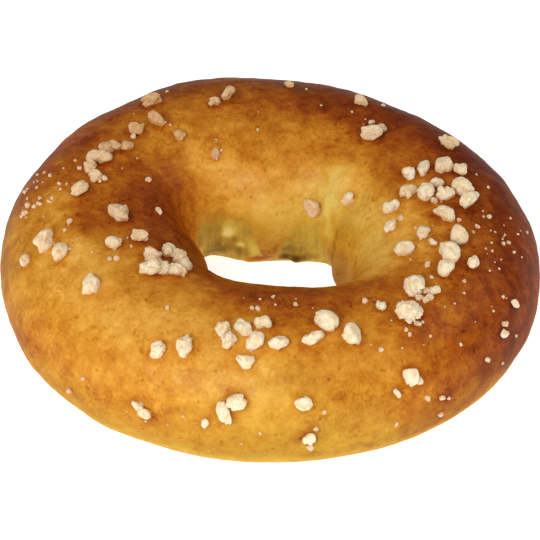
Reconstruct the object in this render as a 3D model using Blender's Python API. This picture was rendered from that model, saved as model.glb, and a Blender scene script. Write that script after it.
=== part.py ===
"""King cake: a plain brioche ring, egg-washed and baked, with coarse pearl sugar on its crust.

The ring is one closed solid with its sugar grains fused on. Metres, +Z up. It rests on the plane
z = 0, and the middle of its box is over the origin. -Y is the front, +X the right.

A place on the crust is given by two angles in degrees:
    azimuth  round the ring: 0 at the right, 90 at the back, 180 at the left, 270 at the front
    tube     round the dough: 0 at the outer belly, 90 at the crest, 180 at the belly of the hole,
             down to -90 and 270 at the two edges of the flat base
"""

import math
import random

import bmesh
import bpy
from mathutils import Matrix, Vector, noise

# ---- driving dimensions of the ring ----
RING_RADIUS = 0.1000
HOLE_RADIUS = 0.0270
RING_HEIGHT = 0.0488
BACK_RISE = 0.0009  # the back crest stands this much higher than the ring does on average
OUTER_BELLY = 0.0180  # height of the widest line outside
HOLE_BELLY = 0.0160  # height of the narrowest line of the hole
OUTER_UNDERCUT = 0.0100  # how far the base stops short of the belly outside
HOLE_UNDERCUT = 0.0060  # and in the hole
CREST_POWER = 2.2  # 2 is a round crest, more is a squarer one
RING_AXIS = Vector((-0.0009, -0.0010, 0.0))  # where the ring turns, so that its box is centred

# ---- how hand-shaping put it out of round: waves per turn, size, azimuth of the first peak ----
OUTER_WAVES = ((2, 0.0025, -11), (3, 0.0012, -13), (4, 0.0003, 9))
HOLE_WAVES = ((1, 0.0031, -58), (2, 0.0040, -27), (3, 0.0014, 34), (4, 0.0024, -35))

# ---- relief of the crust, outwards where positive ----
LUMP_SIZE = 0.030  # width of the broad lumps of the risen dough
LUMP_HEIGHT = 0.0007
RUMPLE_SIZE = 0.012  # width of the smaller rumples
RUMPLE_HEIGHT = 0.00035
SEAM_TUBE = (108, 132)  # the joint of the dough's ends starts between these tube angles
SEAM_RIDGE = (42, 4.5, 0.0009)  # the stretched lip of the joint: azimuth, half width, height
SEAM_CREASE = (27, 8.0, -0.0010)  # the crease beside it
HOLE_EDGE_TUBE = (175, 225)  # the torn lower edge of the hole starts between these
HOLE_EDGE_SIZE = 0.009
HOLE_EDGE_HEIGHT = 0.0022
# Single humps and dents by azimuth, tube, half width along the ring and round it, and height.
HUMPS = {
    "back left dent": (129, 55, 9, 35, -0.0010),
    "back hump": (109, 50, 11, 35, 0.0011),
    "front hump": (249, -5, 9, 40, 0.0010),
    "flap at the back of the hole": (110, 235, 7, 30, 0.0024),
    "second flap": (62, 235, 5, 25, 0.0022),
    "torn away left of the flap": (131, 240, 14, 35, -0.0012),
    "torn away between the flaps": (84, 238, 12, 30, -0.0010),
    "torn away right of the flaps": (42, 240, 11, 35, -0.0040),
    "right wall of the hole": (6, 190, 14, 40, 0.0030),
    "front right rim of the hole": (311, 140, 18, 28, -0.0020),
    "left rim of the hole": (214, 152, 12, 22, -0.0022),
}

# ---- the mesh of the ring ----
AZIMUTH_STEPS = 96
TUBE_STEPS = 30

# ---- pearl sugar, as the grains lie on the crust: azimuth, tube, length in millimetres and, where a
# grain has a plain form, its breadth over its length and the turn of its length from the way round
# the ring towards the hole ----
SUGAR = {
    "left rim chain": (
        (142, 90, 7.2, 0.84, 155), (151, 94, 6.6, 0.84, 150), (153, 90, 6.2, 0.84, 145),
        (155.5, 87, 6.4, 0.84, 150), (160, 88, 7.0, 0.8, 105), (160.5, 82, 6.4, 0.8, 135),
        (165.5, 84, 7.0, 0.84, 0), (169.5, 88, 6.4, 0.8, 80), (175.5, 82, 8.0, 0.72, 135),
    ),
    "left crest": ((189.5, 98, 9.2, 0.9, 70), (203.5, 102, 7.2, 0.76, 70), (205, 90, 7.4, 0.72, 90)),
    "left side": (
        (195, 56, 10.4, 0.58, 120), (201, 63, 8.2, 0.68, 110), (196, 40, 5.8, 0.8, 135),
        (216.5, 66, 8.6, 0.88, 145),
    ),
    "left ring of grains": (
        (218.5, 100, 8.6, 0.9, 125), (223.5, 94, 8.4, 0.84, 55), (225.5, 100, 6.8, 0.8, 55),
        (215, 113, 6.8, 0.84, 85), (217.5, 118, 5.6), (223, 118, 7.6, 0.9, 160),
        (229, 114, 6.4, 0.9, 135), (230, 105, 7.6, 0.85, 55),
    ),
    "back left": (
        (127.5, 73, 8.8, 0.56, 170), (132.5, 91, 8.4, 0.62, 105), (131, 106, 5.2, 0.9, 160),
        (105, 82, 8.6, 0.5, 50), (110.5, 88, 5.6, 0.6, 5), (121.5, 124, 5.2, 0.74, 95),
    ),
    "back right": (
        (84.5, 68, 4.5, 0.55, 170), (61.5, 73, 6.6, 0.54, 0), (47.5, 96, 9.6, 0.7, 55),
        (47, 89, 4.8, 0.8, 80), (31, 66, 9.0, 0.6, 30),
    ),
    "hole wall": ((52, 156, 8.0, 0.9, 115), (29.5, 140, 6.0, 0.88, 125)),
    "right heap": (
        (19.5, 100, 6.8, 0.9, 135), (20, 92, 7.8, 0.66, 145), (20, 81, 9.6, 0.82, 145),
        (17, 74, 6.4, 0.88, 165), (8.5, 77, 9.6, 0.78, 65), (2, 78, 10.0, 0.56, 125),
        (10, 106, 6.8, 0.9, 140), (7, 98, 8.2, 0.9, 165), (12, 90, 6.4, 0.6, 80),
        (5.5, 89, 7.6, 0.88, 60), (356, 91, 9.8, 0.62, 50),
    ),
    "right inner side": (
        (3.5, 118, 8.0, 0.62, 105), (351, 122, 7.0, 0.66, 165), (344.5, 102, 7.2, 0.78, 165),
        (335, 110, 9.0, 0.66, 100),
    ),
    "right chain": (
        (346, 84, 9.2, 0.78, 35), (336.5, 84, 9.6, 0.92, 15), (331, 82, 8.2, 0.82, 25),
        (337.5, 70, 6.8, 0.7, 15), (341, 94, 4.4, 0.55, 70), (337, 31, 4.4, 0.55, 95), (330, 22, 4.2),
    ),
    "right front crumble": (
        (318.5, 85, 8.6, 0.95, 0), (322, 76, 4.6), (310.5, 74, 10.0, 0.9, 110), (313.5, 70, 4.4),
        (310, 68, 4.2), (306, 84, 4.2),
    ),
    "front crest": (
        (293.5, 68, 9.0, 0.86, 95), (287, 81, 10.0, 0.8, 145), (282.5, 68, 9.4, 0.6, 35),
        (273.5, 68, 8.0, 0.76, 15), (257.5, 74, 7.0, 0.84, 75), (260.5, 66, 7.0, 0.92, 65),
        (263.5, 76, 7.4, 0.95, 5), (269, 81, 7.2, 0.72, 165), (267, 67, 9.4, 0.66, 60),
        (265.5, 54, 7.4, 0.8, 160),
    ),
    "front side": (
        (243.5, 51, 7.2, 0.92, 45), (249.5, 58, 9.4, 0.76, 85), (242.5, 11, 5.4, 0.75, 155),
        (244.5, 8, 5.8, 0.72, 150), (264, 28, 8.2, 0.88, 50), (261.5, 19, 9.4, 0.6, 105),
        (257.5, 10, 4.0, 0.7, 95), (279, 28, 7.6, 0.76, 175), (279.5, 2, 6.0, 0.8, 55),
        (303.5, 32, 7.2, 0.85, 65), (305, 26, 4.4, 0.8, 115), (299.5, 23, 4.4, 0.5, 110),
    ),
}
GRAIN_LIFT = 0.20  # a grain's middle stands this share of its size above the crust
GRAIN_FLATNESS = 0.92  # its height over the mean of its length and breadth
GRAIN_BREADTH = (0.82, 1.0)  # its breadth over its length, where the list gives none
GRAIN_UNEVENNESS = 0.16
SUGAR_SEED = 7

# ---- grains on the back flank, which the list does not reach, strewn as thinly as in front ----
BACK_GRAINS = 12
BACK_AZIMUTH = (40, 140)
BACK_TUBE = (-12, 18)
BACK_GRAIN_MM = (3.8, 6.0)
BACK_GRAIN_SPACING = 0.013

# ---- colours: linear red, green, blue ----
CRUST_COLOUR = (0.46, 0.17, 0.025, 1.0)
SUGAR_COLOUR = (0.78, 0.70, 0.56, 1.0)
CRUST_ROUGHNESS = 0.42
SUGAR_ROUGHNESS = 0.60


def clear_scene():
    for thing in list(bpy.data.objects):
        bpy.data.objects.remove(thing, do_unlink=True)


def principled(name, colour, roughness):
    material = bpy.data.materials.new(name)
    material.use_nodes = True
    shader = material.node_tree.nodes["Principled BSDF"]
    shader.inputs["Base Color"].default_value = colour
    shader.inputs["Roughness"].default_value = roughness
    shader.inputs["Metallic"].default_value = 0.0
    return material


def add_object(name, mesh, material):
    thing = bpy.data.objects.new(name, mesh)
    mesh.materials.append(material)
    bpy.context.scene.collection.objects.link(thing)
    return thing


def ramp(value, low, high):
    """0 below low, 1 above high, smooth between them."""
    share = min(1.0, max(0.0, (value - low) / (high - low)))
    return share * share * (3 - 2 * share)


def bell(away, half_width):
    """1 in the middle, falling smoothly to about a third at half_width."""
    return math.exp(-((away / half_width) ** 2))


def round_bell(azimuth, middle, half_width):
    """The same by azimuth, in degrees, going on past 360."""
    return bell((azimuth - middle + 180) % 360 - 180, half_width)


def out_of_round(azimuth, waves):
    return sum(size * math.cos(math.radians(count * (azimuth - peak))) for count, size, peak in waves)


def signed_power(value, power):
    return math.copysign(abs(value) ** power, value)


def smooth_ring(azimuth, tube):
    """The crust without relief, seen from the ring's axis: the point, and the way out of the dough."""
    outer = RING_RADIUS + out_of_round(azimuth, OUTER_WAVES)
    inner = HOLE_RADIUS + out_of_round(azimuth, HOLE_WAVES)
    half = (outer - inner) / 2
    turn = math.radians(azimuth)
    crest = RING_HEIGHT + BACK_RISE * math.sin(turn)
    level = math.cos(math.radians(tube))
    rise = math.sin(math.radians(tube))
    belly = OUTER_BELLY if level >= 0 else HOLE_BELLY
    undercut = OUTER_UNDERCUT if level >= 0 else HOLE_UNDERCUT
    if rise >= 0:
        across = half * signed_power(level, 2 / CREST_POWER)
        height = belly + (crest - belly) * rise ** (2 / CREST_POWER)
        way_out = (level, rise)
    else:
        across = math.copysign(half - undercut * (1 - abs(level)), level)
        height = belly * (1 + rise)
        way_out = (math.copysign(1, level), 0)
    radial = Vector((math.cos(turn), math.sin(turn), 0))
    point = radial * ((outer + inner) / 2 + across)
    point.z = height
    return point, radial * way_out[0] + Vector((0, 0, way_out[1]))


def relief(point, azimuth, tube):
    """How far the crust stands out from the smooth ring at a place."""
    height = LUMP_HEIGHT * noise.noise(point / LUMP_SIZE)
    height += RUMPLE_HEIGHT * noise.noise(point / RUMPLE_SIZE)
    seam = ramp(tube, *SEAM_TUBE)
    for middle, half_width, size in (SEAM_RIDGE, SEAM_CREASE):
        height += seam * size * round_bell(azimuth, middle, half_width)
    torn = ramp(tube, *HOLE_EDGE_TUBE)
    height += torn * HOLE_EDGE_HEIGHT * noise.noise(point / HOLE_EDGE_SIZE)
    for middle, tube_middle, half_width, half_round, size in HUMPS.values():
        hump = round_bell(azimuth, middle, half_width) * bell(tube - tube_middle, half_round)
        height += size * hump
    return height


def crust(azimuth, tube):
    """The crust's point at a place."""
    point, way_out = smooth_ring(azimuth, tube)
    return RING_AXIS + point + way_out * relief(point, azimuth, tube)


def crust_normal(azimuth, tube, step=0.5):
    along = crust(azimuth + step, tube) - crust(azimuth - step, tube)
    round_tube = crust(azimuth, tube + step) - crust(azimuth, tube - step)
    return along.cross(round_tube).normalized()


def ring_mesh():
    """A grid of quads round the tube, closed below by one flat strip, cut into triangles."""
    shape = bmesh.new()
    rings = []
    for i in range(AZIMUTH_STEPS):
        azimuth = 360 * i / AZIMUTH_STEPS
        tubes = [360 * j / TUBE_STEPS - 90 for j in range(TUBE_STEPS + 1)]
        rings.append([shape.verts.new(crust(azimuth, tube)) for tube in tubes])
    for i, here in enumerate(rings):
        after = rings[(i + 1) % AZIMUTH_STEPS]
        for j in range(TUBE_STEPS):
            shape.faces.new((here[j], after[j], after[j + 1], here[j + 1]))
        shape.faces.new((here[-1], after[-1], after[0], here[0]))
    bmesh.ops.recalc_face_normals(shape, faces=shape.faces)
    bmesh.ops.triangulate(shape, faces=shape.faces)
    mesh = bpy.data.meshes.new("king_cake")
    shape.to_mesh(mesh)
    shape.free()
    return mesh


def back_places(draw):
    """Seeded places on the back flank, each clear of the ones before it."""
    places = []
    while len(places) < BACK_GRAINS:
        azimuth = draw.uniform(*BACK_AZIMUTH)
        tube = draw.uniform(*BACK_TUBE)
        point = crust(azimuth, tube)
        near = [p for p in places if (crust(p[0], p[1]) - point).length < BACK_GRAIN_SPACING]
        if not near:
            places.append((azimuth, tube, draw.uniform(*BACK_GRAIN_MM)))
    return places


def grain_mesh(size, breadth, draw):
    """One lump of sugar: a sphere of flats, knocked uneven and a little flat."""
    shape = bmesh.new()
    bmesh.ops.create_icosphere(shape, subdivisions=1, radius=size / 2)
    for vertex in shape.verts:
        vertex.co *= 1 + draw.uniform(-GRAIN_UNEVENNESS, GRAIN_UNEVENNESS)
        vertex.co.y *= breadth
        vertex.co.z *= GRAIN_FLATNESS * (1 + breadth) / 2
    mesh = bpy.data.meshes.new("grain")
    shape.to_mesh(mesh)
    shape.free()
    return mesh


def lay_grain(azimuth, tube, size, turn):
    """Where a grain lies: its middle just over the crust, its flat side down, its length turned."""
    normal = crust_normal(azimuth, tube)
    middle = crust(azimuth, tube) + normal * (GRAIN_LIFT * size)
    round_ring = (crust(azimuth + 0.5, tube) - crust(azimuth - 0.5, tube)).normalized()
    along = Matrix.Rotation(math.radians(turn), 3, normal) @ round_ring
    turned = Matrix((along, normal.cross(along), normal)).transposed().to_4x4()
    return Matrix.Translation(middle) @ turned


def add_grains(material):
    """Every grain as an object of its own, in one collection."""
    draw = random.Random(SUGAR_SEED)
    places = [place for group in SUGAR.values() for place in group] + back_places(draw)
    grains = bpy.data.collections.new("sugar_grains")
    for azimuth, tube, size_mm, *form in places:
        breadth, turn = form or (draw.uniform(*GRAIN_BREADTH), draw.uniform(0, 360))
        mesh = grain_mesh(size_mm / 1000, breadth, draw)
        mesh.materials.append(material)
        grain = bpy.data.objects.new("grain", mesh)
        grain.matrix_world = lay_grain(azimuth, tube, size_mm / 1000, turn)
        grains.objects.link(grain)
    bpy.context.scene.collection.children.link(grains)
    return grains


def fuse(ring, grains):
    """One Boolean union of the ring with every grain, applied, and the loose grains removed."""
    union = ring.modifiers.new("sugar", "BOOLEAN")
    union.operation = "UNION"
    union.operand_type = "COLLECTION"
    union.collection = grains
    union.solver = "EXACT"
    union.material_mode = "TRANSFER"
    graph = bpy.context.evaluated_depsgraph_get()
    fused = bpy.data.meshes.new_from_object(ring.evaluated_get(graph))
    ring.modifiers.clear()
    ring.data = fused
    for grain in list(grains.objects):
        bpy.data.objects.remove(grain, do_unlink=True)
    bpy.data.collections.remove(grains)


def islands(shape):
    """The faces of a bmesh in groups that hang together."""
    found = []
    seen = set()
    for first in shape.faces:
        if first in seen:
            continue
        seen.add(first)
        group = [first]
        for face in group:
            for edge in face.edges:
                for other in edge.link_faces:
                    if other not in seen:
                        seen.add(other)
                        group.append(other)
        found.append(group)
    return found


def keep_outer_skin(thing):
    """Drops loose scraps and fills sealed hollows: only the largest group of faces stays."""
    shape = bmesh.new()
    shape.from_mesh(thing.data)
    groups = sorted(islands(shape), key=len)
    scraps = [face for group in groups[:-1] for face in group]
    bmesh.ops.delete(shape, geom=scraps, context="FACES")
    bmesh.ops.triangulate(shape, faces=shape.faces)
    shape.to_mesh(thing.data)
    shape.free()


def main():
    clear_scene()
    crust_material = principled("brioche_crust", CRUST_COLOUR, CRUST_ROUGHNESS)
    sugar_material = principled("pearl_sugar", SUGAR_COLOUR, SUGAR_ROUGHNESS)
    ring = add_object("king_cake", ring_mesh(), crust_material)
    fuse(ring, add_grains(sugar_material))
    keep_outer_skin(ring)
    ring.data.shade_smooth()
    ring.data.set_sharp_from_angle(angle=math.radians(35))


main()
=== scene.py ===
"""The looks of a sugared brioche ring: its baked crust, its pearl sugar and the crumbs between.

Metres, +Z up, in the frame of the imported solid. A place on the crust is given by two angles in
degrees, as in the solid:
    azimuth  round the ring: 0 at the right, 90 at the back, 180 at the left, 270 at the front
    tube     round the dough: 0 at the outer belly, 90 at the crest, 180 at the belly of the hole,
             down to -90 and 270 at the two edges of the flat base
"""

import math
import random

import bmesh
import bpy
import numpy as np
from mathutils import Matrix, Vector, noise


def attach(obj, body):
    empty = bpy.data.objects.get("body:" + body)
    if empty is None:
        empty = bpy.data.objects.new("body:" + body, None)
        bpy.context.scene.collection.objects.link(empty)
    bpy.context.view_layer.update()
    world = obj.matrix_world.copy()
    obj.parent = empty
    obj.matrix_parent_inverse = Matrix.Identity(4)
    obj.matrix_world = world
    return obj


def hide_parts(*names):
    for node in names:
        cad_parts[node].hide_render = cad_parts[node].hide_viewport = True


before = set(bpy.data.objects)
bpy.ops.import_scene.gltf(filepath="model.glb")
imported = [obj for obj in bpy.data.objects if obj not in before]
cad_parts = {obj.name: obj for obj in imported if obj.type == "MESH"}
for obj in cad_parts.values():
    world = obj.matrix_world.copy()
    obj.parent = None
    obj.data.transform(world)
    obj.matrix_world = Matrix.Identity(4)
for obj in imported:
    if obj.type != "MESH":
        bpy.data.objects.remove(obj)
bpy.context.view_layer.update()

# ---- the ring, with the solid's own values. Another program fitted the waves, HOLE_RADIUS,
# RING_HEIGHT, BACK_RISE, OUTER_BELLY and HOLE_UNDERCUT to the photo's outline and hole, and the six
# humps marked here to the hole ----
RING_RADIUS = 0.1000
HOLE_RADIUS = 0.0270
RING_HEIGHT = 0.0488
BACK_RISE = 0.0009
OUTER_BELLY = 0.0180
HOLE_BELLY = 0.0160
OUTER_UNDERCUT = 0.0100
HOLE_UNDERCUT = 0.0060
CREST_POWER = 2.2
RING_AXIS = np.array((-0.0009, -0.0010, 0.0))
OUTER_WAVES = ((2, 0.0025, -11), (3, 0.0012, -13), (4, 0.0003, 9))
HOLE_WAVES = ((1, 0.0031, -58), (2, 0.0040, -27), (3, 0.0014, 34), (4, 0.0024, -35))
LUMP_SIZE = 0.030
LUMP_HEIGHT = 0.0007
RUMPLE_SIZE = 0.012
RUMPLE_HEIGHT = 0.00035
SEAM_TUBE = (108, 132)
SEAM_RIDGE = (42, 4.5, 0.0009)
SEAM_CREASE = (27, 8.0, -0.0010)
HOLE_EDGE_TUBE = (175, 225)
HOLE_EDGE_SIZE = 0.009
HOLE_EDGE_HEIGHT = 0.0022
HUMPS = {
    "back left dent": (129, 55, 9, 35, -0.0010),
    "back hump": (109, 50, 11, 35, 0.0011),
    "front hump": (249, -5, 9, 40, 0.0010),
    "flap at the back of the hole": (110, 235, 7, 30, 0.0024),  # fitted
    "second flap": (62, 235, 5, 25, 0.0022),  # fitted
    "torn away left of the flap": (131, 240, 14, 35, -0.0012),  # fitted
    "torn away between the flaps": (84, 238, 12, 30, -0.0010),
    "torn away right of the flaps": (42, 240, 11, 35, -0.0040),  # fitted
    "right wall of the hole": (6, 190, 14, 40, 0.0030),  # fitted
    "front right rim of the hole": (311, 140, 18, 28, -0.0020),  # fitted
    "left rim of the hole": (214, 152, 12, 22, -0.0022),
}

# ---- pearl sugar, as in the solid: azimuth, tube, length in millimetres and, where a grain has a
# plain form, its breadth over its length and the turn of its length from the way round the ring
# towards the hole. Another program worked out the angles and turns, here and in SMALL_GRAINS, from
# readings of the photo ----
SUGAR = {
    "left rim chain": (
        (142, 90, 7.2, 0.84, 155), (151, 94, 6.6, 0.84, 150), (153, 90, 6.2, 0.84, 145),
        (155.5, 87, 6.4, 0.84, 150), (160, 88, 7.0, 0.8, 105), (160.5, 82, 6.4, 0.8, 135),
        (165.5, 84, 7.0, 0.84, 0), (169.5, 88, 6.4, 0.8, 80), (175.5, 82, 8.0, 0.72, 135),
    ),
    "left crest": ((189.5, 98, 9.2, 0.9, 70), (203.5, 102, 7.2, 0.76, 70), (205, 90, 7.4, 0.72, 90)),
    "left side": (
        (195, 56, 10.4, 0.58, 120), (201, 63, 8.2, 0.68, 110), (196, 40, 5.8, 0.8, 135),
        (216.5, 66, 8.6, 0.88, 145),
    ),
    "left ring of grains": (
        (218.5, 100, 8.6, 0.9, 125), (223.5, 94, 8.4, 0.84, 55), (225.5, 100, 6.8, 0.8, 55),
        (215, 113, 6.8, 0.84, 85), (217.5, 118, 5.6), (223, 118, 7.6, 0.9, 160),
        (229, 114, 6.4, 0.9, 135), (230, 105, 7.6, 0.85, 55),
    ),
    "back left": (
        (127.5, 73, 8.8, 0.56, 170), (132.5, 91, 8.4, 0.62, 105), (131, 106, 5.2, 0.9, 160),
        (105, 82, 8.6, 0.5, 50), (110.5, 88, 5.6, 0.6, 5), (121.5, 124, 5.2, 0.74, 95),
    ),
    "back right": (
        (84.5, 68, 4.5, 0.55, 170), (61.5, 73, 6.6, 0.54, 0), (47.5, 96, 9.6, 0.7, 55),
        (47, 89, 4.8, 0.8, 80), (31, 66, 9.0, 0.6, 30),
    ),
    "hole wall": ((52, 156, 8.0, 0.9, 115), (29.5, 140, 6.0, 0.88, 125)),
    "right heap": (
        (19.5, 100, 6.8, 0.9, 135), (20, 92, 7.8, 0.66, 145), (20, 81, 9.6, 0.82, 145),
        (17, 74, 6.4, 0.88, 165), (8.5, 77, 9.6, 0.78, 65), (2, 78, 10.0, 0.56, 125),
        (10, 106, 6.8, 0.9, 140), (7, 98, 8.2, 0.9, 165), (12, 90, 6.4, 0.6, 80),
        (5.5, 89, 7.6, 0.88, 60), (356, 91, 9.8, 0.62, 50),
    ),
    "right inner side": (
        (3.5, 118, 8.0, 0.62, 105), (351, 122, 7.0, 0.66, 165), (344.5, 102, 7.2, 0.78, 165),
        (335, 110, 9.0, 0.66, 100),
    ),
    "right chain": (
        (346, 84, 9.2, 0.78, 35), (336.5, 84, 9.6, 0.92, 15), (331, 82, 8.2, 0.82, 25),
        (337.5, 70, 6.8, 0.7, 15), (341, 94, 4.4, 0.55, 70), (337, 31, 4.4, 0.55, 95), (330, 22, 4.2),
    ),
    "right front crumble": (
        (318.5, 85, 8.6, 0.95, 0), (322, 76, 4.6), (310.5, 74, 10.0, 0.9, 110), (313.5, 70, 4.4),
        (310, 68, 4.2), (306, 84, 4.2),
    ),
    "front crest": (
        (293.5, 68, 9.0, 0.86, 95), (287, 81, 10.0, 0.8, 145), (282.5, 68, 9.4, 0.6, 35),
        (273.5, 68, 8.0, 0.76, 15), (257.5, 74, 7.0, 0.84, 75), (260.5, 66, 7.0, 0.92, 65),
        (263.5, 76, 7.4, 0.95, 5), (269, 81, 7.2, 0.72, 165), (267, 67, 9.4, 0.66, 60),
        (265.5, 54, 7.4, 0.8, 160),
    ),
    "front side": (
        (243.5, 51, 7.2, 0.92, 45), (249.5, 58, 9.4, 0.76, 85), (242.5, 11, 5.4, 0.75, 155),
        (244.5, 8, 5.8, 0.72, 150), (264, 28, 8.2, 0.88, 50), (261.5, 19, 9.4, 0.6, 105),
        (257.5, 10, 4.0, 0.7, 95), (279, 28, 7.6, 0.76, 175), (279.5, 2, 6.0, 0.8, 55),
        (303.5, 32, 7.2, 0.85, 65), (305, 26, 4.4, 0.8, 115), (299.5, 23, 4.4, 0.5, 110),
    ),
}
CRUMBLY_GROUPS = ("left ring of grains", "right front crumble")
GRAIN_LIFT = 0.20
GRAIN_FLATNESS = 0.88
GRAIN_BREADTH = (0.82, 1.0)
GRAIN_SPREAD = 0.94
CRUMBLY_SPREAD = 1.01
GRAIN_SUBDIVISIONS = 4
LUMP_FACES = 9
LUMP_REACH = (0.40, 0.92)
LUMP_SHARPNESS = 26
LUMP_MEAN = 0.80  # a lump's reach on average
LUMP_LEAN = 0.30  # how much more it reaches to its own side, and less away from it
LEAST_FACING = 0.02  # keeps a face seen edge on from reaching without end
LEAST_RADIUS = 0.3
# how a grain is put together: lumps, knobs on it, how narrow those are, how far they stand out, and
# the crystals' roughness
GRAIN_FORM = {
    "plain": (3, 22, 60, (-0.05, 0.13), 0.022),
    "crumbly": (3, 60, 80, (-0.05, 0.17), 0.034),
}
# ---- crumbs of sugar that only the looks hold, in the same terms ----
SMALL_GRAINS = (
    (144.5, 92, 3.2, 0.8, 20), (169.5, 92, 3.0), (161.5, 117, 2.6), (180, 124, 4.4, 0.48, 20),
    (210.5, 84, 2.2), (212, 86, 3.0, 0.8, 100), (189.5, 74, 3.2, 0.6, 130), (200.5, 68, 2.6, 0.5, 85),
    (356, 115, 3.0), (52, 88, 3.0, 0.7, 65), (3.5, 94, 3.0), (330, 91, 3.2, 0.7, 165), (331.5, 27, 3.2),
    (320.5, 79, 3.4, 0.8, 50), (319, 74, 3.4), (317.5, 74, 3.0), (317, 78, 3.4),
    (311, 62, 3.4, 0.55, 140), (303.5, 91, 3.0, 0.8, 60), (280, -12, 2.8), (306.5, 11, 3.0, 0.7, 125),
    (310, 6, 2.8, 0.7, 165), (171, 90, 1.9), (165.5, 77, 2.2), (162, 72, 1.6), (165, 51, 1.6),
    (164.5, 44, 1.4), (167.5, 58, 1.9), (172, 67, 1.8), (172.5, 72, 1.3), (171, 50, 1.5),
    (174.5, 69, 1.4), (170.5, 39, 2.0), (174, 44, 1.3), (176, 55, 1.7), (177.5, 64, 1.5),
    (177, 46, 2.7), (178.5, 51, 2.0), (178, 54, 2.0), (178.5, 56, 1.5), (179, 44, 3.0),
    (179.5, 41, 1.8), (192, 70, 1.5), (265, 92, 2.1), (267, 92, 2.5), (272.5, 104, 1.8),
    (280.5, 96, 2.0), (299, 54, 2.3), (307.5, 62, 2.0), (307.5, 58, 1.8), (239, 80, 2.0),
    (326, 84, 2.2), (331, 68, 1.7), (323.5, 14, 2.4), (334.5, 10, 1.6), (328.5, 1, 1.4),
    (310, -13, 2.4), (299, 0, 2.0), (312, 3, 1.5), (281, 8, 2.2), (283, 19, 2.0), (228.5, 12, 2.0),
    (224.5, -8, 2.8), (56, 64, 2.0), (354.5, 84, 2.0), (79.5, 70, 1.2), (120, 62, 1.5), (353, 74, 2.4),
    (350, 76, 1.6), (11.5, 60, 1.5), (16.5, 64, 1.2), (358.5, 66, 2.2), (348.5, 64, 1.4),
    (350.5, 56, 1.8), (352, 52, 1.8), (350, 47, 1.5), (357, 45, 1.2), (1, 34, 1.5), (1.5, 50, 1.2),
    (335.5, 41, 1.6), (318, 36, 1.5), (130.5, 96, 1.6), (117.5, 122, 1.4), (117.5, 114, 1.4),
)
# strewn crumbs: azimuth, tube, half widths along and round the ring, how many
CRUMBS = {
    "left rim": (172, 56, 9, 16, 10),
    "left side": (196, 60, 14, 16, 6),
    "left crest": (200, 90, 16, 12, 6),
    "right side": (355, 62, 12, 16, 14),
    "right flank": (342, 42, 12, 18, 8),
    "right crest": (345, 96, 14, 14, 8),
    "front by the hole": (270, 98, 12, 6, 6),
    "front right": (310, 60, 14, 20, 10),
    "front": (262, 20, 30, 26, 8),
    "back": (95, 90, 50, 24, 10),
}
CRUMB_SCATTER = 0.6  # their spread over the half widths
CRUMB_MM = (0.6, 1.4)
CRUMB_SUBDIVISIONS = 3
CRUMB_SEED = 11
BACK_GRAINS = 12
BACK_AZIMUTH = (40, 140)
BACK_TUBE = (-12, 18)
BACK_GRAIN_MM = (3.8, 6.0)
BACK_GRAIN_SPACING = 0.013
SUGAR_SEED = 7

# ---- how much a grain is tinted darker and creamier: on average, more at the back, more at the left, and either way ----
CREAM = 0.22
CREAM_AT_BACK = 0.28
CREAM_AT_LEFT = 0.20
CREAM_SPREAD = 0.18
# painted shade on each grain's lower side
FOOT_SHADE_REACH = 0.7  # a grain's foot fades upwards over this share of its length
# painted contact shade round each grain, together with the darker syrup there
SYRUP_AND_SHADE_WIDTH = 0.0011  # the crust is darker this far from a grain

# ---- the fine ring ----
AZIMUTH_STEPS = 720
TUBE_STEPS = 132
ANGLE_STEP = 0.5  # degrees each way, over which a direction on the crust is measured

# ---- the finest relief, which only the looks hold: widths and heights of its bumps, and its places as
# azimuth, tube and half widths along and round the ring ----
SKIN = ((0.0052, 0.00022), (0.0024, 0.00010))
WRINKLED_PLACE = (88, 124, 34, 26)
WRINKLE_WIDTH = 0.0026
WRINKLE_HEIGHT = 0.00045
WRINKLE_STRETCH = (0.35, 1.0, 1.6)
SCORED_PLACE = (335, 45, 34, 45)
SCORE_WIDTH = 0.0045
SCORE_HEIGHT = 0.00030
SCORE_SLANT = ((0.9, 0.3, 0.0), (-0.5, 1.2, 0.2), (0.1, 0.5, 1.0))
TORN_TUBE = (176, 200)
TORN_AZIMUTH = (100, 70)
TORN_WIDTH = 0.0036
TORN_HEIGHT = 0.0009
FINE_FROM = (-88, -60)  # it fades in and out between these tube angles, clear of the base
FINE_TO = (240, 268)

# ---- camera, as the photo was taken: its elevation, roll and focal length are from the same fit ----
CAMERA_ELEVATION = math.radians(40.2)
CAMERA_ROLL = math.radians(-1.33)
CAMERA_DISTANCE = 1.3
CAMERA_AIM = Vector((0.0, -0.0010, 0.0161))
FOCAL_PIXELS = 3405
FRAME_PIXELS = 540
SENSOR_MM = 36

# ---- how the crust browned: azimuth, tube, half widths along and round the ring, darker or paler ----
BROWNING_BASE = 0.42
BROWNING = {
    "right side": (8, 28, 76, 62, 0.46),
    "back rim": (66, 72, 50, 26, 0.28),
    "back left rim": (142, 60, 34, 26, 0.26),
    "back flank": (105, 15, 55, 40, 0.30),
    "left flank": (174, 20, 24, 40, 0.14),
    "left by the hole": (186, 128, 46, 36, 0.40),
    "front left by the hole": (236, 130, 26, 16, 0.14),
    "front by the hole": (276, 108, 42, 24, 0.28),
    "front right crest": (314, 104, 22, 16, 0.10),
    "left crest patch": (184, 86, 16, 10, 0.10),
    "above the seam": (24, 112, 14, 12, 0.14),
    "right wall of the hole": (8, 212, 26, 30, 0.16),
    "front and left, less baked": (238, 62, 60, 32, -0.20),
    "front belly, less baked": (264, 20, 24, 16, -0.08),
    "front right, less baked": (300, 30, 18, 36, -0.14),
    "right crest, less baked": (338, 88, 26, 10, -0.14),
    "right inner side": (350, 128, 34, 26, -0.32),
    "by the seam": (38, 142, 22, 22, -0.32),
    "back of the hole": (84, 158, 46, 20, -0.30),
    "back left of the hole": (124, 134, 20, 20, -0.18),
    "bottom edge": (270, -62, 180, 22, -0.16),
}
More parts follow.
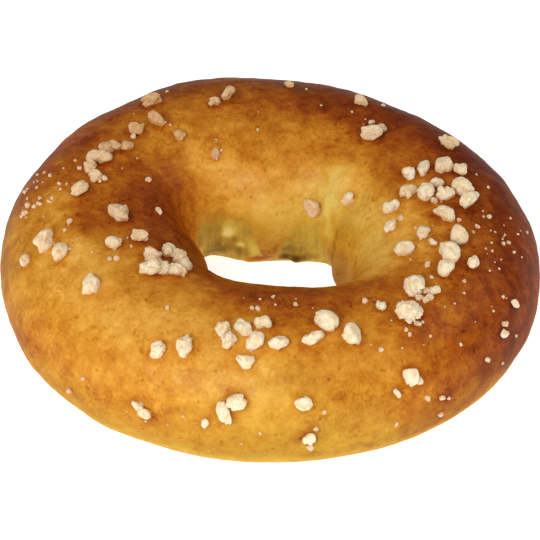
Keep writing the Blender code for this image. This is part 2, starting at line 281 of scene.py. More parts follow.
# smaller blotches on top of that, in the same terms
BLOTCHES = {
    "back rim": (
        (72, 90, 8, 10, 0.12), (108, 128, 7, 6, 0.12), (120, 130, 6, 5, 0.08), (132, 98, 8, 8, -0.08),
        (66, 86, 10, 8, 0.14), (88, 66, 18, 6, 0.10), (115, 50, 10, 8, 0.12), (104, 124, 6, 8, 0.14),
        (116, 98, 8, 5, 0.11), (92, 103, 8, 6, 0.08), (126, 122, 11, 14, -0.12), (154, 128, 10, 8, -0.11),
    ),
    "back of the hole": (
        (30, 194, 14, 10, 0.10), (60, 200, 10, 10, 0.06), (357, 176, 10, 10, 0.13),
        (37, 162, 6, 8, 0.12), (97, 210, 8, 8, 0.14),
        (58, 128, 12, 6, -0.11), (80, 136, 9, 6, -0.09), (35, 145, 7, 6, -0.10), (18, 160, 8, 10, -0.05),
        (78, 161, 7, 6, -0.07), (106, 170, 18, 7, 0.12), (98, 226, 13, 8, 0.24), (96, 204, 10, 12, -0.06),
        (108, 205, 8, 12, -0.06), (144, 176, 7, 12, -0.08), (170, 160, 10, 10, 0.08),
    ),
    "right": (
        (18, 104, 8, 6, -0.09), (312, 66, 8, 8, 0.09), (328, 4, 12, 10, 0.13),
        (16, 98, 8, 8, -0.12), (28, 78, 6, 8, -0.10), (20, 47, 14, 9, 0.12), (0, 68, 6, 8, -0.09),
        (344, 108, 12, 10, -0.08), (340, 78, 8, 6, -0.10), (348, 28, 9, 8, 0.12), (330, -10, 14, 12, 0.14),
        (312, -28, 8, 8, 0.10), (314, 26, 6, 8, 0.08), (324, 34, 6, 8, -0.10), (318, 116, 10, 8, 0.09),
        (330, 136, 8, 7, 0.07), (12, 205, 10, 12, 0.12),
    ),
    "front": (
        (264, 34, 8, 10, -0.08), (264, 72, 6, 8, -0.11), (276, 46, 6, 6, -0.07), (240, 44, 8, 8, 0.08),
        (250, 89, 12, 8, -0.10), (262, 58, 6, 20, -0.13), (274, 20, 11, 16, -0.14),
        (286, -10, 10, 14, -0.14), (290, 72, 6, 6, -0.12), (298, 101, 9, 8, -0.12),
        (300, 38, 8, 28, -0.08), (278, 82, 10, 8, 0.14),
        (254, -14, 6, 10, 0.06), (300, 133, 8, 6, 0.10), (268, 128, 8, 6, 0.06),
    ),
    "left": (
        (228, 104, 6, 6, -0.09), (192, 152, 8, 6, -0.12), (178, 72, 8, 8, -0.09), (228, 80, 8, 8, 0.08),
        (190, -34, 22, 14, 0.10), (208, 6, 9, 8, 0.12), (186, 36, 6, 8, -0.10), (205, 72, 8, 6, -0.09),
        (188, 79, 10, 6, 0.18), (212, 60, 6, 10, 0.10), (230, 81, 8, 6, 0.14), (234, 56, 10, 7, 0.07),
        (206, -6, 8, 8, 0.12), (218, -16, 8, 8, 0.07), (160, 80, 10, 8, -0.12), (176, 66, 8, 8, -0.08),
        (200, 97, 12, 6, -0.07), (204, 68, 5, 5, -0.08), (190, 157, 8, 6, -0.10), (196, 20, 12, 20, -0.06),
        (164, 38, 10, 10, 0.08),
    ),
}
# ---- where the crust is lemon yellow rather than orange; at the left rim it is partly painted sheen ----
YELLOW = {
    "right inner side": (8, 154, 46, 30, 0.6),
    "by the seam": (46, 150, 16, 30, 0.3),
    "low belly": (258, -20, 80, 30, 0.6),
    "bottom edge": (262, -50, 62, 28, 0.6),
    "front belly": (274, 18, 20, 34, 0.4),
    "left flank": (184, 26, 24, 30, 0.3),
    "back of the hole": (84, 186, 62, 32, 0.9),
    "back rim": (96, 62, 44, 16, 0.3),
    "lower right rim": (340, -12, 16, 16, 0.4),
    "lower right wall": (357, 178, 14, 16, 0.3),
    "flap": (98, 218, 14, 16, 0.5),
    # left rim: partly the crust's own yellow, partly painted sheen
    "left rim": (164, -6, 24, 26, 0.9),
    "back left rim": (122, 42, 16, 16, 0.5),
    "left by the hole": (210, 146, 18, 26, 0.4),
    "right belly": (10, 212, 30, 34, 0.9),
}
# ---- raw dough on the wall of the hole: its upper edge as (azimuth, tube), and its paler and
# darker places ----
RAW_EDGE = (
    (28, 182), (40, 173), (53, 171), (64, 173), (71, 183), (78, 203), (85, 226), (89, 236),
    (92, 230), (98, 206), (105, 180), (110, 171), (117, 167), (128, 169), (141, 166), (148, 168),
)
RAW_EDGE_FADE = (12, 14)  # degrees before the edge and past it
RAW_SPAN = (31, 150)
RAW_LOW_FADE = 8
RAW_HIGH_FADE = 5
RAW_SHARE = 0.9
BAKED_EDGE = (99, 229, 15, 12, 1.0)  # the baked lower edge of the flap, as an oval patch
RAW_TONE_BASE = 0.42
RAW_TONE = {
    # the torn lip and the small torn place: pale torn crumb with a painted highlight on it
    "torn lip with painted highlight": (120, 175, 5, 7, 0.55),
    "small torn place with painted highlight": (117, 199, 3, 6, 0.34),
    "right part": (46, 184, 16, 20, 0.02),
    "left corner": (145, 200, 7, 24, 0.22),
    "left of the flap": (104, 206, 9, 24, 0.20),
    "left hollow": (130, 212, 12, 16, -0.18),
    "shade beside the flap": (66, 206, 12, 16, -0.15),
    # painted shade under the flap
    "painted shade under the flap": (64, 224, 13, 8, -0.50),
}
# ---- the seam where the rope's ends were joined: a pale line, a crease beside it and a stretched
# line in front of them, as (tube, azimuth) ----
PALE_LINE = ((124, 45), (130, 46), (138, 46), (146, 42), (154, 38), (164, 35), (174, 34))
PALE_LINE_WIDTH = 3.8
DARK_LINE = ((140, 36), (155, 33), (168, 21), (178, 14))
DARK_LINE_WIDTH = 4.5
STRETCH_LINE = ((116, 352), (128, 339), (134, 322))
STRETCH_LINE_WIDTH = 3.0
LINE_FADE_INSIDE = 2  # a line fades off from here before its ends
LINE_FADE_OUTSIDE = 6  # to here past them
PALE_LINE_BROWNING = -0.20
DARK_LINE_BROWNING = 0.10
STRETCH_LINE_BROWNING = -0.10
PALE_LINE_YELLOW = 0.2
PALE_LINE_RAW = 0.25
PALE_LINE_RAW_TUBE = (144, 166)  # raw dough shows in the line from here
PALE_LINE_TONE = 0.35
PALE_LINE_DRIFT = 0.3
# ---- how far the edges of patches wander: degrees, width of the noise, and where it is read ----
DRIFT = ((7, 0.022, 0.5), (4, 0.008, 0.9), (2, 0.0035, 0.4))
AZIMUTH_DRIFT = 1.2  # along the ring, for one round the dough
RAW_DRIFT = ((5, 0.010, 0.2), (4, 0.004, 0.7))

# ---- materials: colours as 0-255 screen values, by how brown or pale the place is, 0 to 1 ----
ORANGE_CRUST = (
    (0.00, (242, 190, 94)),
    (0.15, (233, 170, 70)),
    (0.32, (216, 146, 47)),
    (0.50, (192, 115, 26)),
    (0.68, (165, 82, 14)),
    (0.85, (135, 55, 7)),
    (1.00, (108, 39, 4)),
)
LEMON_CRUST = (
    (0.00, (226, 198, 98)),
    (0.15, (213, 178, 74)),
    (0.32, (198, 155, 46)),
    (0.50, (176, 124, 32)),
    (0.80, (124, 72, 18)),
)
RAW_DOUGH = (
    (0.00, (92, 64, 14)),
    (0.25, (148, 118, 36)),
    (0.50, (190, 158, 56)),
    (0.75, (216, 192, 82)),
    (1.00, (240, 222, 150)),
)
WHITE_SUGAR = ((0.34, (236, 206, 160)), (0.47, (246, 221, 180)), (0.62, (253, 236, 206)))
CRUMB_SUGAR = ((0.35, (216, 174, 128)), (0.65, (240, 214, 178)))
CREAM_COLOUR = (208, 160, 87)
# painted shade on the lower side of the grains
FOOT_SHADE_COLOUR = (226, 176, 108)
# freckles of the crust: width, detail and how much browner or paler
MOTTLE = ((0.013, 4, 0.29), (0.0045, 4, 0.25), (0.0013, 3, 0.16))
YELLOW_CALM = 0.6  # the freckles' share where the crust is lemon yellow
VEIN_DARKNESS = 0.10
SPOT_DARKNESS = 0.14
SYRUP_AND_SHADE_DARKNESS = 0.12
RAW_MOTTLE = 0.26
RAW_STREAKS = 0.24
STREAK_STRETCH = (1, 1, 0.22)
RAW_RAGGEDNESS = 0.30

# ---- light and floor ----
LIGHTS = {"key": ((-0.6, -1.35, 1.15), 23), "fill": ((1.2, 0.2, 1.2), 5)}  # place, watts
LIGHT_AIM = Vector((0, 0, 0.03))
LIGHT_SIZE = 1.2
WORLD_STRENGTH = 0.32
FLOOR_HALF_SIDE = 3
FLOOR_LEVEL = -1e-4
FLOOR_GLOW = 0.78


def srgb(*screen):
    """A colour given as 0-255 screen values, in the linear values that shaders take."""
    return tuple(((c / 255 + 0.055) / 1.055) ** 2.4 if c > 10 else c / 3295 for c in screen) + (1.0,)


def ramp(value, low, high):
    share = np.clip((value - low) / (high - low), 0, 1)
    return share * share * (3 - 2 * share)


def bell(away, half_width):
    """1 in the middle, falling smoothly to about a third at half_width."""
    return np.exp(-((away / half_width) ** 2))


def round_bell(azimuth, middle, half_width):
    return bell((azimuth - middle + 180) % 360 - 180, half_width)


def out_of_round(azimuth, waves):
    return sum(size * np.cos(np.radians(count * (azimuth - peak))) for count, size, peak in waves)


def noise_at(points, size):
    """Smooth noise of one width at many points, about -1 to 1."""
    return np.array([noise.noise(point) for point in (points / size).tolist()])


def smooth_ring(azimuth, tube):
    """The crust without relief, seen from the ring's axis: the points, and the way out of the dough."""
    outer = RING_RADIUS + out_of_round(azimuth, OUTER_WAVES)
    inner = HOLE_RADIUS + out_of_round(azimuth, HOLE_WAVES)
    half = (outer - inner) / 2
    turn = np.radians(azimuth)
    crest = RING_HEIGHT + BACK_RISE * np.sin(turn)
    level = np.cos(np.radians(tube))
    rise = np.sin(np.radians(tube))
    outside = level >= 0
    belly = np.where(outside, OUTER_BELLY, HOLE_BELLY)
    undercut = np.where(outside, OUTER_UNDERCUT, HOLE_UNDERCUT)
    up = rise >= 0
    side = np.where(outside, 1.0, -1.0)
    high = np.abs(rise) ** (2 / CREST_POWER)
    across = np.where(
        up,
        half * side * np.abs(level) ** (2 / CREST_POWER),
        side * (half - undercut * (1 - np.abs(level))),
    )
    height = np.where(up, belly + (crest - belly) * high, belly * (1 + rise))
    radial = np.stack([np.cos(turn), np.sin(turn), np.zeros_like(turn)], -1)
    points = radial * ((outer + inner) / 2 + across)[:, None]
    points[:, 2] = height
    way_out = radial * np.where(up, level, side)[:, None]
    way_out[:, 2] = np.where(up, rise, 0)
    return points, way_out


def relief(points, azimuth, tube):
    """How far the crust stands out from the smooth ring: the solid's own relief."""
    height = LUMP_HEIGHT * noise_at(points, LUMP_SIZE)
    height += RUMPLE_HEIGHT * noise_at(points, RUMPLE_SIZE)
    seam = ramp(tube, *SEAM_TUBE)
    for middle, half_width, size in (SEAM_RIDGE, SEAM_CREASE):
        height += seam * size * round_bell(azimuth, middle, half_width)
    torn = ramp(tube, *HOLE_EDGE_TUBE)
    height += torn * HOLE_EDGE_HEIGHT * noise_at(points, HOLE_EDGE_SIZE)
    for middle, tube_middle, half_width, half_round, size in HUMPS.values():
        hump = round_bell(azimuth, middle, half_width) * bell(tube - tube_middle, half_round)
        height += size * hump
    return height


def crust(azimuth, tube):
    azimuth, tube = np.atleast_1d(azimuth).astype(float), np.atleast_1d(tube).astype(float)
    points, way_out = smooth_ring(azimuth, tube)
    return RING_AXIS + points + way_out * relief(points, azimuth, tube)[:, None]


def along_ring(azimuth, tube):
    return crust(azimuth + ANGLE_STEP, tube) - crust(azimuth - ANGLE_STEP, tube)


def crust_normal(azimuth, tube):
    along = along_ring(azimuth, tube)
    round_tube = crust(azimuth, tube + ANGLE_STEP) - crust(azimuth, tube - ANGLE_STEP)
    normal = np.cross(along, round_tube)
    return normal / np.linalg.norm(normal, axis=1, keepdims=True)


def soft_place(place, azimuth, tube):
    """1 in the middle of a place, falling smoothly off all round."""
    middle, tube_middle, half_width, half_round = place
    return round_bell(azimuth, middle, half_width) * bell(tube - tube_middle, half_round)


def fine_relief(points, azimuth, tube):
    """The small wrinkles, blisters and pits that only the looks hold."""
    height = sum(rise * noise_at(points, width) for width, rise in SKIN)
    stretched = points * np.array(WRINKLE_STRETCH)
    wrinkled = soft_place(WRINKLED_PLACE, azimuth, tube)
    height += wrinkled * WRINKLE_HEIGHT * noise_at(stretched, WRINKLE_WIDTH)
    slanted = points @ np.array(SCORE_SLANT)
    height += soft_place(SCORED_PLACE, azimuth, tube) * SCORE_HEIGHT * noise_at(slanted, SCORE_WIDTH)
    torn = ramp(tube, *TORN_TUBE) * round_bell(azimuth, *TORN_AZIMUTH)
    height += torn * TORN_HEIGHT * noise_at(points, TORN_WIDTH)
    return height


def patches(ovals, azimuth, tube):
    """The sum of oval patches, each flat in its middle and soft at its edge."""
    total = np.zeros(len(azimuth))
    for middle, tube_middle, half_width, half_round, amount in ovals:
        away = (azimuth - middle + 180) % 360 - 180
        away_squared = (away / half_width) ** 2 + ((tube - tube_middle) / half_round) ** 2
        total += amount * np.exp(-(away_squared**1.5))
    return total


def line(route, half_width, azimuth, tube):
    """1 on a line that runs round the dough, fading off to its sides and past its ends."""
    tubes, azimuths = np.array(route, float).T
    middle = np.interp(tube, tubes, azimuths)
    begun = ramp(tube, tubes[0] - LINE_FADE_OUTSIDE, tubes[0] + LINE_FADE_INSIDE)
    ended = ramp(tube, tubes[-1] - LINE_FADE_INSIDE, tubes[-1] + LINE_FADE_OUTSIDE)
    return begun * (1 - ended) * round_bell(azimuth, middle, half_width)


def wander(points, noises):
    """Degrees that an edge wanders: noises of several widths added up."""
    return sum(degrees * noise_at(points + where, width) for degrees, width, where in noises)


def drifted(points, azimuth, tube):
    """The two angles with wandering added, so that no edge of a patch is a plain oval."""
    drift = wander(points, DRIFT)
    return azimuth + drift * AZIMUTH_DRIFT, tube + drift


def browning_at(points, azimuth, tube):
    """0 unbaked to 1 darkest."""
    azimuth, tube = drifted(points, azimuth, tube)
    brown = BROWNING_BASE + patches(BROWNING.values(), azimuth, tube)
    for blotches in BLOTCHES.values():
        brown += patches(blotches, azimuth, tube)
    brown += PALE_LINE_BROWNING * line(PALE_LINE, PALE_LINE_WIDTH, azimuth, tube)
    brown += DARK_LINE_BROWNING * line(DARK_LINE, DARK_LINE_WIDTH, azimuth, tube)
    brown += STRETCH_LINE_BROWNING * line(STRETCH_LINE, STRETCH_LINE_WIDTH, azimuth, tube)
    return np.clip(brown, 0, 1)


def yellow_at(points, azimuth, tube):
    """0 orange to 1 lemon yellow."""
    azimuth, tube = drifted(points, azimuth, tube)
    yellow = patches(YELLOW.values(), azimuth, tube)
    yellow += PALE_LINE_YELLOW * line(PALE_LINE, PALE_LINE_WIDTH, azimuth, tube)
    return np.clip(yellow, 0, 1)


def raw_at(points, azimuth, tube):
    """0 baked to 1 raw dough: the torn wall of the hole, and the seam's pale line."""
    drift = wander(points, RAW_DRIFT)
    azimuths, tubes = np.array(RAW_EDGE, float).T
    edge = np.interp(azimuth, azimuths, tubes)
    low, high = RAW_SPAN
    begun = ramp(azimuth + drift, low - RAW_LOW_FADE, low + RAW_LOW_FADE)
    ended = ramp(azimuth + drift, high - RAW_HIGH_FADE, high + RAW_HIGH_FADE)
    before, past = RAW_EDGE_FADE
    wall = RAW_SHARE * ramp(tube + drift, edge - before, edge + past) * (begun * (1 - ended))
    wall *= 1 - patches([BAKED_EDGE], azimuth, tube)
    lip = line(PALE_LINE, PALE_LINE_WIDTH, azimuth + PALE_LINE_DRIFT * drift, tube)
    return np.clip(wall + PALE_LINE_RAW * (lip * ramp(tube, *PALE_LINE_RAW_TUBE)), 0, 1)


def raw_tone_at(points, azimuth, tube):
    """0 darkest olive to 1 palest torn dough; painted shade by the flap, partly painted highlight on the
    torn places.
    """
    azimuth, tube = drifted(points, azimuth, tube)
    tone = RAW_TONE_BASE + patches(RAW_TONE.values(), azimuth, tube)
    return np.clip(tone + PALE_LINE_TONE * line(PALE_LINE, PALE_LINE_WIDTH, azimuth, tube), 0, 1)


def set_values(mesh, name, values):
    layer = mesh.attributes.new(name, "FLOAT", "POINT")
    layer.data.foreach_set("value", np.asarray(values, np.float32))


def make_mesh(name, points, faces, smooth=True):
    mesh = bpy.data.meshes.new(name)
    mesh.from_pydata(points.tolist(), [], faces)
    mesh.update()
    if smooth:
        mesh.shade_smooth()
    return mesh


def add_piece(name, mesh, material):
    piece = bpy.data.objects.new(name, mesh)
    mesh.materials.append(material)
    bpy.context.scene.collection.objects.link(piece)
    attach(piece, "root")
    return piece


# ---- places of the grains ----
def sugar_places():
    """Azimuth, tube, size and form of every grain, with whether its group is crumbly."""
    draw = random.Random(SUGAR_SEED)
    back = []
    while len(back) < BACK_GRAINS:
        azimuth = draw.uniform(*BACK_AZIMUTH)
        tube = draw.uniform(*BACK_TUBE)
        point = crust(azimuth, tube)[0]
        if all(np.linalg.norm(crust(p[0], p[1])[0] - point) >= BACK_GRAIN_SPACING for p in back):
            back.append((azimuth, tube, draw.uniform(*BACK_GRAIN_MM)))
    places = []
    for group, grains in (SUGAR | {"back": back}).items():
        places += [formed(grain, draw) + (group in CRUMBLY_GROUPS,) for grain in grains]
    return places


def formed(grain, draw):
    """A grain's azimuth, tube, length in metres, breadth over length and turn, drawn if not given."""
    azimuth, tube, size_mm, *form = grain
    breadth, turn = form or (draw.uniform(*GRAIN_BREADTH), draw.uniform(0, 360))
    return azimuth, tube, size_mm / 1000, breadth, turn


def near_sugar(points, places):
    """1 right beside a grain, fading to 0 about 2 mm from its edge."""
    middles = crust([p[0] for p in places], [p[1] for p in places])
    nearest = np.full(len(points), np.inf)
    for middle, place in zip(middles, places):
        away = np.linalg.norm(points - middle, axis=1) - place[2] / 2
        nearest = np.minimum(nearest, away)
    return np.exp(-((np.clip(nearest, 0, None) / SYRUP_AND_SHADE_WIDTH) ** 2))


# ---- materials ----
class Shader:
    """A material's node tree, with short ways to add and join nodes."""

    def __init__(self, name):
        self.material = bpy.data.materials.new(name)
        self.material.use_nodes = True
        self.tree = self.material.node_tree
        self.principled = self.tree.nodes["Principled BSDF"]

    def add(self, kind, **settings):
        node = self.tree.nodes.new("ShaderNode" + kind)
        for name, value in settings.items():
            setattr(node, name, value)
        return node

    def join(self, start, end):
        self.tree.links.new(start, end)

    def value(self, name):
        return self.add("Attribute", attribute_name=name).outputs["Fac"]

    def place(self):
        return self.add("TexCoord").outputs["Object"]

    def noise(self, size, detail=3.0, roughness=0.55, stretch=(1, 1, 1)):
        """Noise whose features are about size metres wide, 0 to 1."""
        mapping = self.add("Mapping")
        mapping.inputs["Scale"].default_value = stretch
        self.join(self.place(), mapping.inputs["Vector"])
        texture = self.add("TexNoise")
        texture.inputs["Scale"].default_value = 1 / size
        texture.inputs["Detail"].default_value = detail
        texture.inputs["Roughness"].default_value = roughness
        self.join(mapping.outputs["Vector"], texture.inputs["Vector"])
        return texture.outputs["Fac"]

    def surface(self, **values):
        """Plain values of the Principled node's sockets, named with _ for each space."""
        for name, value in values.items():
            self.principled.inputs[name.replace("_", " ")].default_value = value

    def math(self, operation, first, second=0.0, clamp=False):
        node = self.add("Math", operation=operation, use_clamp=clamp)
        for socket, value in zip(node.inputs, (first, second)):
            if isinstance(value, (int, float)):
                socket.default_value = value
            else:
                self.join(value, socket)
        return node.outputs["Value"]

    def swing(self, source, amount):
        """A 0 to 1 source as a value from -amount to amount."""
        return self.math("MULTIPLY", self.math("SUBTRACT", source, 0.5), 2 * amount)

    def fit(self, source, low, high, to_low=0.0, to_high=1.0):
        node = self.add("MapRange", interpolation_type="SMOOTHSTEP")
        for socket, value in zip(node.inputs[1:5], (low, high, to_low, to_high)):
            socket.default_value = value
        self.join(source, node.inputs["Value"])
        return node.outputs["Result"]

    def ramp(self, source, stops):
        node = self.add("ValToRGB")
        node.color_ramp.elements.remove(node.color_ramp.elements[1])
        node.color_ramp.elements[0].position = stops[0][0]
        node.color_ramp.elements[0].color = srgb(*stops[0][1])
        for position, colour in stops[1:]:
            node.color_ramp.elements.new(position).color = srgb(*colour)
        self.join(source, node.inputs["Fac"])
        return node.outputs["Color"]

    def mix(self, share, first, second, blend="MIX"):
        node = self.add("Mix", data_type="RGBA", blend_type=blend)
        ends = (node.inputs["Factor"], node.inputs[6], node.inputs[7])
        for socket, value in zip(ends, (share, first, second)):
            if isinstance(value, (int, float, tuple)):
                socket.default_value = value
            else:
                self.join(value, socket)
        return node.outputs[2]

    def bump(self, heights):
        """Bumps one on another, each (source, height in metres)."""
        below = None
        for source, height in heights:
            node = self.add("Bump")
            node.inputs["Strength"].default_value = 1.0
            node.inputs["Distance"].default_value = height
            self.join(source, node.inputs["Height"])
            if below is not None:
                self.join(below, node.inputs["Normal"])
            below = node.outputs["Normal"]
        self.join(below, self.principled.inputs["Normal"])


def crust_material():
    shader = Shader("brioche_crust")
    brown = shader.value("browning")
    mottle = 0.0
    for size, detail, amount in MOTTLE:
        mottle = shader.math("ADD", shader.swing(shader.noise(size, detail, 0.6), amount), mottle)
    calm = shader.fit(shader.value("yellow"), 0.0, 1.0, 1.0, YELLOW_CALM)
    brown = shader.math("ADD", brown, shader.math("MULTIPLY", mottle, calm))
    vein = shader.math("ABSOLUTE", shader.math("SUBTRACT", shader.noise(0.008, 2), 0.5))
    vein = shader.fit(vein, 0.0, 0.035, 1.0, 0.0)
    vein = shader.math("MULTIPLY", vein, shader.fit(shader.noise(0.018, 1), 0.48, 0.62))
    brown = shader.math("ADD", brown, shader.math("MULTIPLY", vein, VEIN_DARKNESS))
    spot = shader.fit(shader.noise(0.0026, 1), 0.68, 0.76)
    brown = shader.math("ADD", brown, shader.math("MULTIPLY", spot, SPOT_DARKNESS))
    # painted contact shade round the grains, with darker syrup
    syrup_and_shade = shader.math("MULTIPLY", shader.value("syrup_and_shade"), SYRUP_AND_SHADE_DARKNESS)
    brown = shader.math("ADD", brown, syrup_and_shade, clamp=True)
    orange = shader.ramp(brown, ORANGE_CRUST)
    lemon = shader.ramp(brown, LEMON_CRUST)
    baked = shader.mix(shader.value("yellow"), orange, lemon)
    mottled = shader.swing(shader.noise(0.0050, 4, 0.6), RAW_MOTTLE)
    tone = shader.math("ADD", shader.value("raw_tone"), mottled)
    streaks = shader.noise(0.0020, 3, 0.6, stretch=STREAK_STRETCH)
    tone = shader.math("ADD", tone, shader.swing(streaks, RAW_STREAKS))
    dough = shader.ramp(tone, RAW_DOUGH)
    torn = shader.swing(shader.noise(0.004, 3), RAW_RAGGEDNESS)
    ragged = shader.math("ADD", shader.value("raw"), torn, clamp=True)
    colour = shader.mix(shader.fit(ragged, 0.05, 0.95), baked, dough)
    shader.join(colour, shader.principled.inputs["Base Color"])
    rough = shader.fit(shader.noise(0.009, 3), 0.3, 0.7, 0.30, 0.48)
    shader.join(rough, shader.principled.inputs["Roughness"])
    shader.surface(Specular_IOR_Level=0.0, Coat_Weight=0.20, Coat_Roughness=0.35)
    shader.surface(Subsurface_Weight=0.08, Subsurface_Scale=1.0)
    shader.surface(Subsurface_Radius=(0.004, 0.0018, 0.0006))
    shader.bump(((shader.noise(0.0030, 4, 0.6), 0.00035), (shader.noise(0.0009, 3, 0.6), 0.00008)))
    return shader.material


def sugar_material():
    shader = Shader("pearl_sugar")
    cloudy = shader.math("ADD", shader.noise(0.0024, 3, 0.6), shader.swing(shader.noise(0.0006, 2), 0.25))
    grain = shader.ramp(cloudy, WHITE_SUGAR)
    creamy = shader.mix(shader.value("cream"), grain, srgb(*CREAM_COLOUR), "MULTIPLY")
    # painted shade towards each grain's lower side
    shaded_foot = shader.fit(shader.value("shaded_foot"), 0.45, 1.0)
    colour = shader.mix(shaded_foot, creamy, srgb(*FOOT_SHADE_COLOUR))
    shader.join(colour, shader.principled.inputs["Base Color"])
    rough = shader.fit(shader.noise(0.0012, 2), 0.3, 0.7, 0.40, 0.65)
    shader.join(rough, shader.principled.inputs["Roughness"])
    shader.surface(Specular_IOR_Level=0.35, Subsurface_Weight=0.5, Subsurface_Scale=1.0)
    shader.surface(Subsurface_Radius=(0.0030, 0.0026, 0.0020))
    shader.bump(((shader.noise(0.0007, 3, 0.7), 0.00015),))
    return shader.material


def crumb_material():
    shader = Shader("sugar_crumbs")
    colour = shader.ramp(shader.noise(0.0012, 2), CRUMB_SUGAR)
    shader.join(colour, shader.principled.inputs["Base Color"])
    shader.surface(Roughness=0.5, Subsurface_Weight=0.3, Subsurface_Scale=1.0)
    shader.surface(Subsurface_Radius=(0.0012, 0.0009, 0.0006))
    return shader.material


def floor_material():
    shader = Shader("pale_floor")
    colour = shader.mix(shader.noise(0.05, 2), srgb(216, 216, 216), srgb(220, 220, 220))
    shader.join(colour, shader.principled.inputs["Base Color"])
    shader.surface(Roughness=0.8, Emission_Color=(1, 1, 1, 1), Emission_Strength=FLOOR_GLOW)
    return shader.material


# ---- pieces ----
def ring_piece(places):
    """The crust as one closed skin: a grid round the tube, and a flat base below."""
    tubes = np.linspace(-90, 270, TUBE_STEPS + 1)
    azimuths = np.arange(AZIMUTH_STEPS) * 360 / AZIMUTH_STEPS
    azimuth = np.repeat(azimuths, TUBE_STEPS + 1)
    tube = np.tile(tubes, AZIMUTH_STEPS)
    smooth, way_out = smooth_ring(azimuth, tube)
    clear_of_base = ramp(tube, *FINE_FROM) * (1 - ramp(tube, *FINE_TO))
    height = relief(smooth, azimuth, tube) + clear_of_base * fine_relief(smooth, azimuth, tube)
    points = RING_AXIS + smooth + way_out * height[:, None]
    width = TUBE_STEPS + 1
    faces = []
    for i in range(AZIMUTH_STEPS):
        here = i * width
        after = (i + 1) % AZIMUTH_STEPS * width
        for j in range(TUBE_STEPS):
            faces.append((here + j, after + j, after + j + 1, here + j + 1))
        faces.append((here + TUBE_STEPS, after + TUBE_STEPS, after, here))
    mesh = make_mesh("crust", points, faces)
    set_values(mesh, "browning", browning_at(smooth, azimuth, tube))
    set_values(mesh, "yellow", yellow_at(smooth, azimuth, tube))
    set_values(mesh, "raw", raw_at(smooth, azimuth, tube))
    set_values(mesh, "raw_tone", raw_tone_at(smooth, azimuth, tube))
    set_values(mesh, "syrup_and_shade", near_sugar(points, places))
    piece = add_piece("crust", mesh, crust_material())
    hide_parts("king_cake")


def sphere_directions(subdivisions):
    """Unit directions and triangles of a ball of nearly even triangles."""
    shape = bmesh.new()
    bmesh.ops.create_icosphere(shape, subdivisions=subdivisions, radius=1)
    directions = np.array([vertex.co for vertex in shape.verts])
    faces = np.array([[vertex.index for vertex in face.verts] for face in shape.faces])
    shape.free()
    return directions / np.linalg.norm(directions, axis=1, keepdims=True), faces


def random_directions(draw, count):
    return np.array([Vector([draw.gauss(0, 1) for _ in range(3)]).normalized() for _ in range(count)])


def broken_lump(directions, draw):
    """How far a lump of flat broken faces reaches each way from a point inside it."""
    faces = random_directions(draw, LUMP_FACES)
    away = np.array([draw.uniform(*LUMP_REACH) for _ in faces])
    facing = np.clip(directions @ faces.T, LEAST_FACING, None)
    radius = ((facing / away) ** LUMP_SHARPNESS).sum(1) ** (-1 / LUMP_SHARPNESS)
    return np.minimum(radius, 1.0)


def grain_points(directions, size, narrowness, crumbly, draw):
    """One broken grain of sugar: lumps grown together, rough with small crystals."""
    lumps, knob_count, narrow, knob_height, roughness = GRAIN_FORM["crumbly" if crumbly else "plain"]
    radius = np.zeros(len(directions))
    for _ in range(lumps):
        toward = random_directions(draw, 1)[0]
        lean = LUMP_MEAN + LUMP_LEAN * directions @ toward
        radius = np.maximum(radius, broken_lump(directions, draw) * lean)
    knobs = random_directions(draw, knob_count)
    heights = np.array([draw.uniform(*knob_height) for _ in knobs])
    radius += (heights * np.exp(narrow * (directions @ knobs.T - 1))).sum(1)
    radius += roughness * np.array([draw.uniform(-1, 1) for _ in directions])
    points = directions * np.clip(radius, LEAST_RADIUS, None)[:, None]
    points *= size / np.ptp(points, axis=0)
    points *= np.array((1.0, narrowness, GRAIN_FLATNESS * (1 + narrowness) / 2))
    return points * (CRUMBLY_SPREAD if crumbly else GRAIN_SPREAD)


def laid(points, azimuth, tube, lift, turn):
    """Points about the origin, moved to a place on the crust: z along its normal, x along the turn."""
    normal = Vector(crust_normal(azimuth, tube)[0])
    round_ring = Vector(along_ring(azimuth, tube)[0]).normalized()
    along = Matrix.Rotation(math.radians(turn), 3, normal) @ round_ring
    axes = np.array((along, normal.cross(along), normal))
    return crust(azimuth, tube)[0] + np.array(normal) * lift + points @ axes


def sugar_piece(places):
    draw = random.Random(SUGAR_SEED + 1)
    directions, triangles = sphere_directions(GRAIN_SUBDIVISIONS)
    points, faces, shaded_foot, cream = [], [], [], []
    for number, (azimuth, tube, size, breadth, turn, crumbly) in enumerate(places):
        own = grain_points(directions, size, breadth, crumbly, draw)
        shaded_foot.append(np.clip(0.5 - own[:, 2] / (FOOT_SHADE_REACH * size), 0, 1))
        points.append(laid(own, azimuth, tube, GRAIN_LIFT * size, turn))
        faces.append(triangles + number * len(directions))
        around = math.radians(azimuth)
        tint = CREAM + CREAM_AT_BACK * math.sin(around) - CREAM_AT_LEFT * math.cos(around)
        cream.append(np.full(len(own), tint + draw.uniform(-CREAM_SPREAD, CREAM_SPREAD)))
    mesh = make_mesh("pearl_sugar", np.concatenate(points), np.concatenate(faces).tolist(), smooth=False)
    set_values(mesh, "shaded_foot", np.concatenate(shaded_foot))
    set_values(mesh, "cream", np.clip(np.concatenate(cream), 0, 1))
    piece = add_piece("pearl_sugar", mesh, sugar_material())
    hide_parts("king_cake")


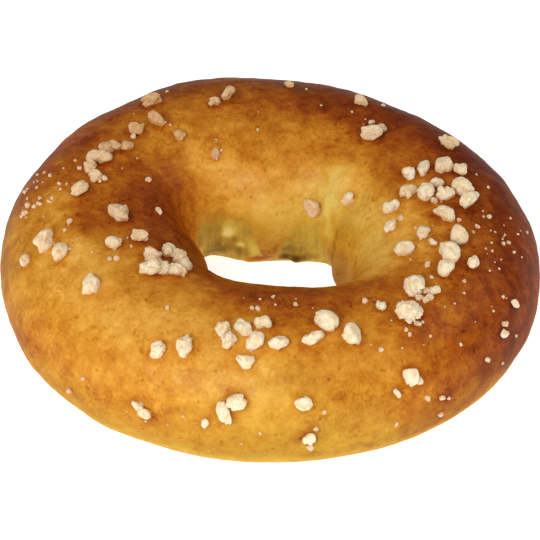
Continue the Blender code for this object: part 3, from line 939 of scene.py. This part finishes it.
def crumbs_piece():
    """Small broken crystals: those seen by themselves, and more strewn where the grains lie thickest."""
    draw = random.Random(CRUMB_SEED)
    crumbs = [formed(grain, draw) for grain in SMALL_GRAINS]
    for azimuth, tube, half_width, half_round, count in CRUMBS.values():
        for _ in range(count):
            along = azimuth + draw.gauss(0, CRUMB_SCATTER) * half_width
            across = tube + draw.gauss(0, CRUMB_SCATTER) * half_round
            size_mm = CRUMB_MM[0] * (CRUMB_MM[1] / CRUMB_MM[0]) ** draw.random()
            crumbs.append(formed((along, across, size_mm), draw))
    directions, triangles = sphere_directions(CRUMB_SUBDIVISIONS)
    points, faces = [], []
    for number, (azimuth, tube, size, breadth, turn) in enumerate(crumbs):
        own = grain_points(directions, size, breadth, False, draw)
        points.append(laid(own, azimuth, tube, GRAIN_LIFT * size, turn))
        faces.append(triangles + number * len(directions))
    mesh = make_mesh("sugar_crumbs", np.concatenate(points), np.concatenate(faces).tolist(), smooth=False)
    add_piece("sugar_crumbs", mesh, crumb_material())


# ---- camera, light and floor ----
def add_camera():
    camera = bpy.data.objects.new("camera", bpy.data.cameras.new("camera"))
    right = Vector((1, 0, 0))
    up = Vector((0, math.sin(CAMERA_ELEVATION), math.cos(CAMERA_ELEVATION)))
    back = Vector((0, -math.cos(CAMERA_ELEVATION), math.sin(CAMERA_ELEVATION)))
    rolled_right = right * math.cos(CAMERA_ROLL) - up * math.sin(CAMERA_ROLL)
    rolled_up = right * math.sin(CAMERA_ROLL) + up * math.cos(CAMERA_ROLL)
    turn = Matrix((rolled_right, rolled_up, back)).transposed().to_4x4()
    camera.matrix_world = Matrix.Translation(CAMERA_AIM + back * CAMERA_DISTANCE) @ turn
    camera.data.sensor_width = SENSOR_MM
    camera.data.lens = FOCAL_PIXELS / FRAME_PIXELS * SENSOR_MM
    camera.data.clip_start = 0.05
    camera.data.clip_end = 20
    bpy.context.scene.collection.objects.link(camera)
    bpy.context.scene.camera = camera


def add_light(name, place, power):
    light = bpy.data.lights.new(name, "AREA")
    light.shape = "DISK"
    light.size = LIGHT_SIZE
    light.energy = power
    lamp = bpy.data.objects.new(name, light)
    lamp.location = place
    lamp.rotation_euler = (LIGHT_AIM - Vector(place)).to_track_quat("-Z", "Y").to_euler()
    bpy.context.scene.collection.objects.link(lamp)


def add_world():
    world = bpy.data.worlds.new("studio")
    world.use_nodes = True
    world.node_tree.nodes["Background"].inputs["Color"].default_value = (1.0, 1.0, 1.0, 1.0)
    world.node_tree.nodes["Background"].inputs["Strength"].default_value = WORLD_STRENGTH
    bpy.context.scene.world = world


def add_floor():
    corners = ((-1, -1), (1, -1), (1, 1), (-1, 1))
    points = np.array([(x * FLOOR_HALF_SIDE, y * FLOOR_HALF_SIDE, FLOOR_LEVEL) for x, y in corners])
    mesh = make_mesh("floor", points, [(0, 1, 2, 3)])
    mesh.materials.append(floor_material())
    floor = bpy.data.objects.new("floor", mesh)
    bpy.context.scene.collection.objects.link(floor)


def main():
    bpy.context.scene.view_settings.view_transform = "Standard"
    places = sugar_places()
    ring_piece(places)
    sugar_piece(places)
    crumbs_piece()
    add_camera()
    add_world()
    for name, (place, power) in LIGHTS.items():
        add_light(name, place, power)
    add_floor()


main()
